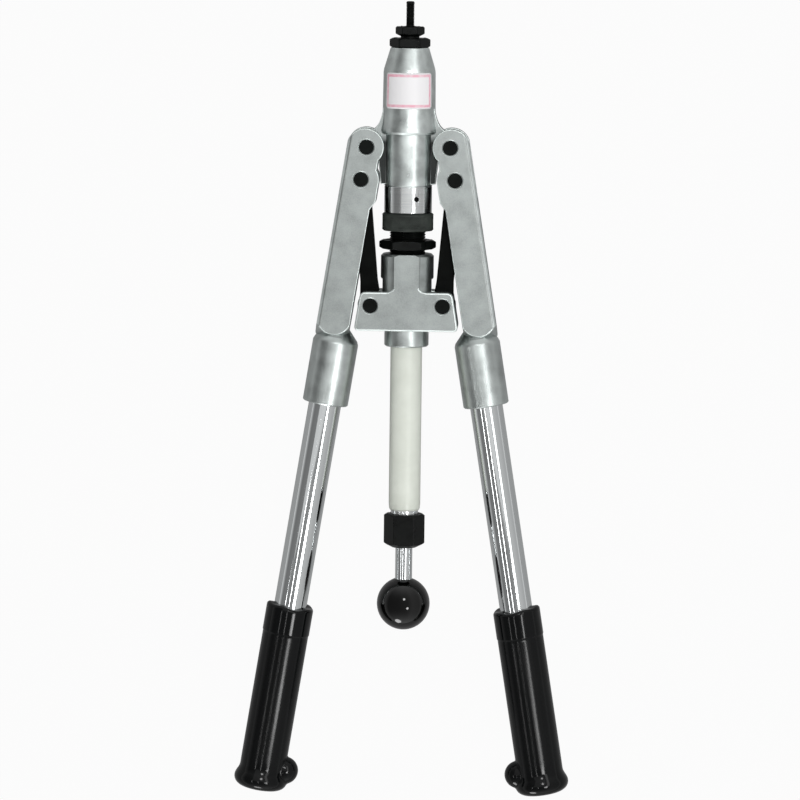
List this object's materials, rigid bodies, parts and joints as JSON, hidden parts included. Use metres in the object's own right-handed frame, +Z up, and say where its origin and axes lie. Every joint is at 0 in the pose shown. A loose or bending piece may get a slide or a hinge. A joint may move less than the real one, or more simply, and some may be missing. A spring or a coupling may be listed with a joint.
{
  "type": "rivet nut tool",
  "caption": "Two-handed lever tool that pulls and sets threaded rivet nuts, with a hexagon nose, toggle links, a sliding yoke, gripped tube handles and a spin-pull ball knob.",
  "frame": {"origin": "on the mandrel axis at the front face of the nosepiece", "axes": "+Y out of the nose along the mandrel, +Z up off the bench on which the tool lies, +X to the right lever"},
  "size_m": [0.198, 0.4679, 0.0334],
  "materials": {
    "cast_grey": "bead-blasted satin casting",
    "polished_steel": "ground and polished",
    "black_steel": "black oxide",
    "pin_steel": "dark oiled",
    "knurled_steel": "knurled, dark matte",
    "chrome": "bright plated",
    "grip_vinyl": "satin dipped vinyl",
    "cream_plastic": "satin moulded",
    "ball_plastic": "polished",
    "inner_steel": "machined",
    "bronze": "machined"
  },
  "bodies": {
    "head": {"head_casting": "cast_grey", "guide_sleeve": "polished_steel", "nosepiece": "black_steel", "nose_lock_nut": "black_steel"},
    "stroke_ring": {"stroke_ring": "knurled_steel"},
    "left_lever": {"left_lever": "cast_grey", "left_handle_tube": "chrome", "left_grip": "grip_vinyl", "left_pivot_pin": "pin_steel", "left_link_pin": "pin_steel"},
    "right_lever": {"right_lever": "cast_grey", "right_handle_tube": "chrome", "right_grip": "grip_vinyl", "right_pivot_pin": "pin_steel", "right_link_pin": "pin_steel"},
    "left_link": {"left_link": "black_steel"},
    "right_link": {"right_link": "black_steel"},
    "yoke": {"yoke": "cast_grey", "yoke_pins": "pin_steel", "stem": "black_steel", "stop_nut": "black_steel", "chuck_retainer": "inner_steel", "guide_tube": "cream_plastic", "end_ferrule": "chrome", "end_nut": "black_steel"},
    "knob": {"pull_rod": "chrome", "drive_nut": "bronze", "ball_knob": "ball_plastic"},
    "mandrel": {"mandrel": "black_steel", "chuck": "inner_steel", "drive_spindle": "inner_steel", "thrust_washer": "bronze"}
  },
  "joints": [
    {"name": "left_lever_hinge", "type": "hinge", "parent": "head", "child": "left_lever", "pos_m": [-0.02443, -0.0701, 0], "axis": [0, 0, -1], "range_deg": [-0.8, 30]},
    {"name": "right_lever_hinge", "type": "hinge", "parent": "head", "child": "right_lever", "pos_m": [0.02443, -0.0701, 0], "axis": [0, 0, 1], "range_deg": [-0.8, 30]},
    {"name": "left_link_hinge", "type": "hinge", "parent": "left_lever", "child": "left_link", "pos_m": [-0.02746, -0.08906, 0], "axis": [0, 0, -1], "range_deg": [-37.3, 1.1]},
    {"name": "right_link_hinge", "type": "hinge", "parent": "right_lever", "child": "right_link", "pos_m": [0.02746, -0.08906, 0], "axis": [0, 0, 1], "range_deg": [-37.3, 1.1]},
    {"name": "yoke_slide", "type": "slide", "parent": "head", "child": "yoke", "axis": [0, 1, 0], "range_m": [-0.00015, 0.005]},
    {"name": "knob_pull", "type": "slide", "parent": "yoke", "child": "knob", "axis": [0, -1, 0], "range_m": [0, 0.075]},
    {"name": "mandrel_spin", "type": "hinge", "parent": "yoke", "child": "mandrel", "pos_m": [0, 0, 0], "axis": [0, 1, 0], "range_deg": [-1126, 1]},
    {"name": "ring_turn", "type": "hinge", "parent": "head", "child": "stroke_ring", "pos_m": [0, -0.1138, 0], "axis": [0, 1, 0], "range_deg": [-180, 180]}
  ],
  "couplings": [
    {"joint": "right_lever_hinge", "follows": "left_lever_hinge", "ratio": 1},
    {"joint": "left_link_hinge", "follows": "left_lever_hinge", "ratio": -1.24},
    {"joint": "right_link_hinge", "follows": "left_lever_hinge", "ratio": -1.24},
    {"joint": "yoke_slide", "follows": "left_lever_hinge", "m_per_rad": 0.0094},
    {"joint": "mandrel_spin", "follows": "knob_pull", "rad_per_m": -261.8}
  ]
}
